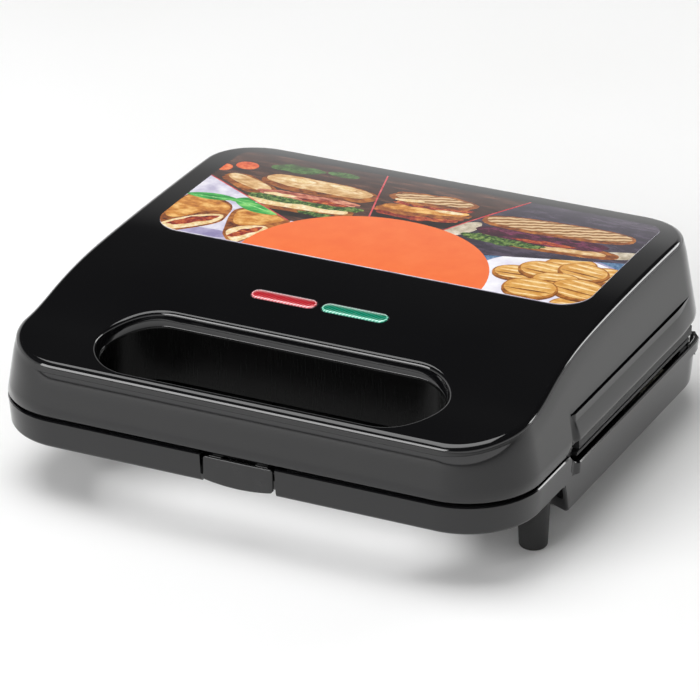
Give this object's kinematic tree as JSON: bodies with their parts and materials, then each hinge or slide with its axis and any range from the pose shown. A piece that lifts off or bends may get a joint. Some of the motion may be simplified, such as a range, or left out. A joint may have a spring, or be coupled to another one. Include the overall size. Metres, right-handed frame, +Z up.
{
  "type": "donut maker",
  "caption": "Hinged counter-top electric press with two removable ring-cavity plates, a hand hole through both halves, a front latch and two indicator lenses.",
  "frame": {"origin": "on the table under the feet, midway between the sides and midway between front and back, lid closed", "axes": "+X to the user's right, +Y to the back, +Z up; the latch is at -Y"},
  "size_m": [0.254, 0.232, 0.083],
  "materials": {
    "gloss_black": "high gloss, moulded",
    "matt_black": "fine texture, moulded",
    "nonstick": "die cast with black non-stick coating",
    "aluminised_sheet": "pressed, satin",
    "heater_sheath": "heat tinted",
    "steel": "bright zinc plated",
    "terminal_plastic": "moulded",
    "silicone_lead": "silicone sheath",
    "rubber": "moulded, dull",
    "red_lens": "tinted, ribbed",
    "green_lens": "tinted, ribbed",
    "lamp_glass": "clear",
    "printed_film": "printed, laminated"
  },
  "bodies": {
    "base": {"base_shell": "gloss_black", "base_frame": "matt_black", "lower_donut_plate": "nonstick", "lower_reflector_tray": "aluminised_sheet", "lower_heating_element": "heater_sheath", "thermostat": "steel", "terminal_block": "terminal_plastic", "base_lead": "silicone_lead", "cord_gland": "rubber", "latch_pin": "steel", "latch_spring": "steel", "lower_clip_spring": "steel", "hinge_pin_left": "steel", "hinge_pin_right": "steel", "foot_front_left": "rubber", "foot_front_right": "rubber", "foot_rear_left": "rubber", "foot_rear_right": "rubber", "base_screw_front_left": "steel", "base_screw_front_right": "steel", "base_screw_rear_left": "steel", "base_screw_rear_right": "steel"},
    "lid": {"lid_shell": "gloss_black", "lid_frame": "matt_black", "upper_donut_plate": "nonstick", "upper_reflector_tray": "aluminised_sheet", "upper_heating_element": "heater_sheath", "thermal_fuse": "steel", "power_lens": "red_lens", "ready_lens": "green_lens", "power_lamp": "lamp_glass", "ready_lamp": "lamp_glass", "lamp_holder": "matt_black", "top_label": "printed_film", "upper_clip_spring": "steel", "lid_lead": "silicone_lead", "lid_screw_front_left": "steel", "lid_screw_front_right": "steel", "lid_screw_rear_left": "steel", "lid_screw_rear_right": "steel"},
    "latch": {"latch": "matt_black"},
    "lower_clip": {"lower_plate_clip": "matt_black"},
    "upper_clip": {"upper_plate_clip": "matt_black"}
  },
  "joints": [
    {"name": "lid_hinge", "type": "hinge", "parent": "base", "child": "lid", "pos_m": [0, 0.103, 0.042], "axis": [-1, 0, 0], "range_deg": [0, 105]},
    {"name": "latch_pivot", "type": "hinge", "parent": "base", "child": "latch", "pos_m": [0, -0.112, 0.0375], "axis": [-1, 0, 0], "range_deg": [0, 9], "stiffness_Nm_per_rad": 0.4},
    {"name": "lower_clip_slide", "type": "slide", "parent": "base", "child": "lower_clip", "axis": [0, -1, 0], "range_m": [0, 0.0035], "stiffness_N_per_m": 600, "deforming": ["lower_clip_spring"]},
    {"name": "upper_clip_slide", "type": "slide", "parent": "lid", "child": "upper_clip", "axis": [0, -1, 0], "range_m": [0, 0.0035], "stiffness_N_per_m": 600, "deforming": ["upper_clip_spring"]}
  ]
}
